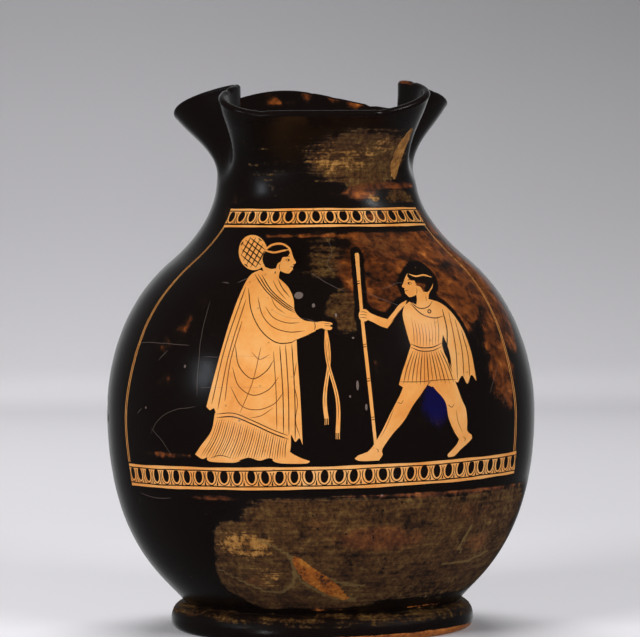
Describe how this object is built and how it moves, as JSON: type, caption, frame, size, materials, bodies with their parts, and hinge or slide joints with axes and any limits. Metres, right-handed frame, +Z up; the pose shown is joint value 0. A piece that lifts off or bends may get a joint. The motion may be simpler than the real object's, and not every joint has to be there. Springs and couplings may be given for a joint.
{
  "type": "chous wine jug",
  "caption": "Round-bellied terracotta wine jug with a ring foot, a short neck, a mouth pinched into three lobes and a low strap handle, painted in black gloss with a framed figure scene.",
  "frame": {"origin": "on the axis of the belly, at the underside of the ring foot", "axes": "+Z up along the jug's axis; -Y is the painted side, with the pouring lobe about 6 degrees towards +X; the handle is behind, towards +Y"},
  "size_m": [0.1884, 0.1882, 0.2395],
  "materials": {
    "fired_clay": "orange fired clay under worn black gloss, reserved clay where the scene is painted"
  },
  "bodies": {
    "root": {"jug": "fired_clay"}
  },
  "joints": []
}
